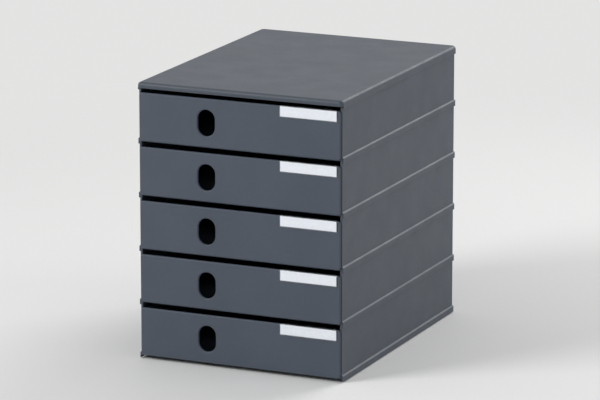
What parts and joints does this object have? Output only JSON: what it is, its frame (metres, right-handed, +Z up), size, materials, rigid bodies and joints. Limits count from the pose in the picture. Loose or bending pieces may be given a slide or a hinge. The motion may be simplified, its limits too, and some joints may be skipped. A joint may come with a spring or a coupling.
{
  "type": "desktop drawer organizer",
  "caption": "Upright desktop drawer organizer for A4 paper: stacked dark grey frames under a cover, with sliding drawers that have oval finger holes and clip-on label holders.",
  "frame": {"origin": "under the middle of the unit, on the surface that its feet stand on", "axes": "+Z up, drawer fronts face -Y, +X to the right as seen from the front"},
  "size_m": [0.25, 0.3374, 0.32],
  "materials": {
    "housing_plastic": "moulded polystyrene, fine satin grain",
    "drawer_plastic": "moulded polystyrene, fine satin grain",
    "clear_plastic": "clear, glossy",
    "white_card": "plain white card",
    "foot_rubber": "matte"
  },
  "bodies": {
    "housing": {"level_frame_1": "housing_plastic", "level_frame_2": "housing_plastic", "level_frame_3": "housing_plastic", "level_frame_4": "housing_plastic", "level_frame_5": "housing_plastic", "top_cover": "housing_plastic", "rubber_feet": "foot_rubber"},
    "drawer_unit_1": {"drawer_1": "drawer_plastic", "label_holder_1": "clear_plastic", "label_card_1": "white_card"},
    "drawer_unit_2": {"drawer_2": "drawer_plastic", "label_holder_2": "clear_plastic", "label_card_2": "white_card"},
    "drawer_unit_3": {"drawer_3": "drawer_plastic", "label_holder_3": "clear_plastic", "label_card_3": "white_card"},
    "drawer_unit_4": {"drawer_4": "drawer_plastic", "label_holder_4": "clear_plastic", "label_card_4": "white_card"},
    "drawer_unit_5": {"drawer_5": "drawer_plastic", "label_holder_5": "clear_plastic", "label_card_5": "white_card"}
  },
  "joints": [
    {"name": "drawer_1_slide", "type": "slide", "parent": "housing", "child": "drawer_unit_1", "axis": [0, -1, 0], "range_m": [0, 0.27]},
    {"name": "drawer_2_slide", "type": "slide", "parent": "housing", "child": "drawer_unit_2", "axis": [0, -1, 0], "range_m": [0, 0.27]},
    {"name": "drawer_3_slide", "type": "slide", "parent": "housing", "child": "drawer_unit_3", "axis": [0, -1, 0], "range_m": [0, 0.27]},
    {"name": "drawer_4_slide", "type": "slide", "parent": "housing", "child": "drawer_unit_4", "axis": [0, -1, 0], "range_m": [0, 0.27]},
    {"name": "drawer_5_slide", "type": "slide", "parent": "housing", "child": "drawer_unit_5", "axis": [0, -1, 0], "range_m": [0, 0.27]}
  ]
}
